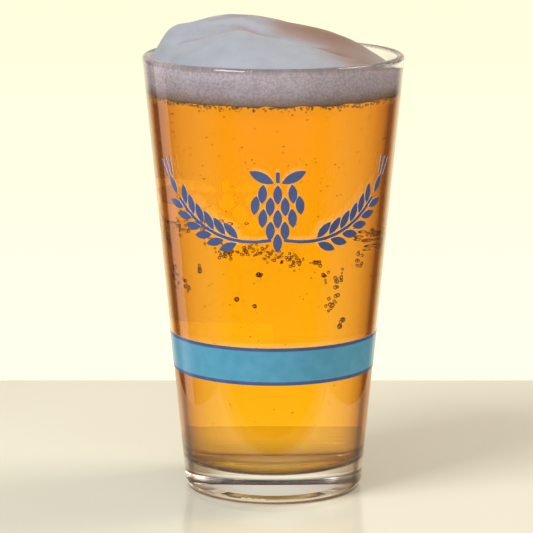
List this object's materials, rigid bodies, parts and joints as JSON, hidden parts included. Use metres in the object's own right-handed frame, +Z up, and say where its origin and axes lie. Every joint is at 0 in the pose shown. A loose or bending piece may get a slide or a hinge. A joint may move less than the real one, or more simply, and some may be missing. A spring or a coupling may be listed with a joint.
{
  "type": "pint glass",
  "caption": "Tapered pint tumbler of clear glass, filled with amber beer under a domed foam head, with a printed band and a hop and barley motif.",
  "frame": {"origin": "centre of the base on the plane that the glass stands on", "axes": "+Z up through the mouth; -Y is the side that the large printed motif faces; +X to the right of it"},
  "size_m": [0.0886, 0.0886, 0.162],
  "materials": {
    "clear_glass": "clear, polished",
    "amber_beer": "clear amber liquid",
    "foam": "fine wet foam",
    "white_enamel": "satin fired enamel",
    "turquoise_enamel": "satin fired enamel",
    "blue_enamel": "satin fired enamel"
  },
  "bodies": {
    "root": {"glass": "clear_glass", "beer": "amber_beer", "foam_head": "foam", "band_base_coat": "white_enamel", "band_lower_line": "blue_enamel", "band_stripe": "turquoise_enamel", "band_upper_line": "blue_enamel", "front_motif_base_coat": "white_enamel", "front_motif": "blue_enamel", "back_motif_base_coat": "white_enamel", "back_motif": "blue_enamel"}
  },
  "joints": []
}
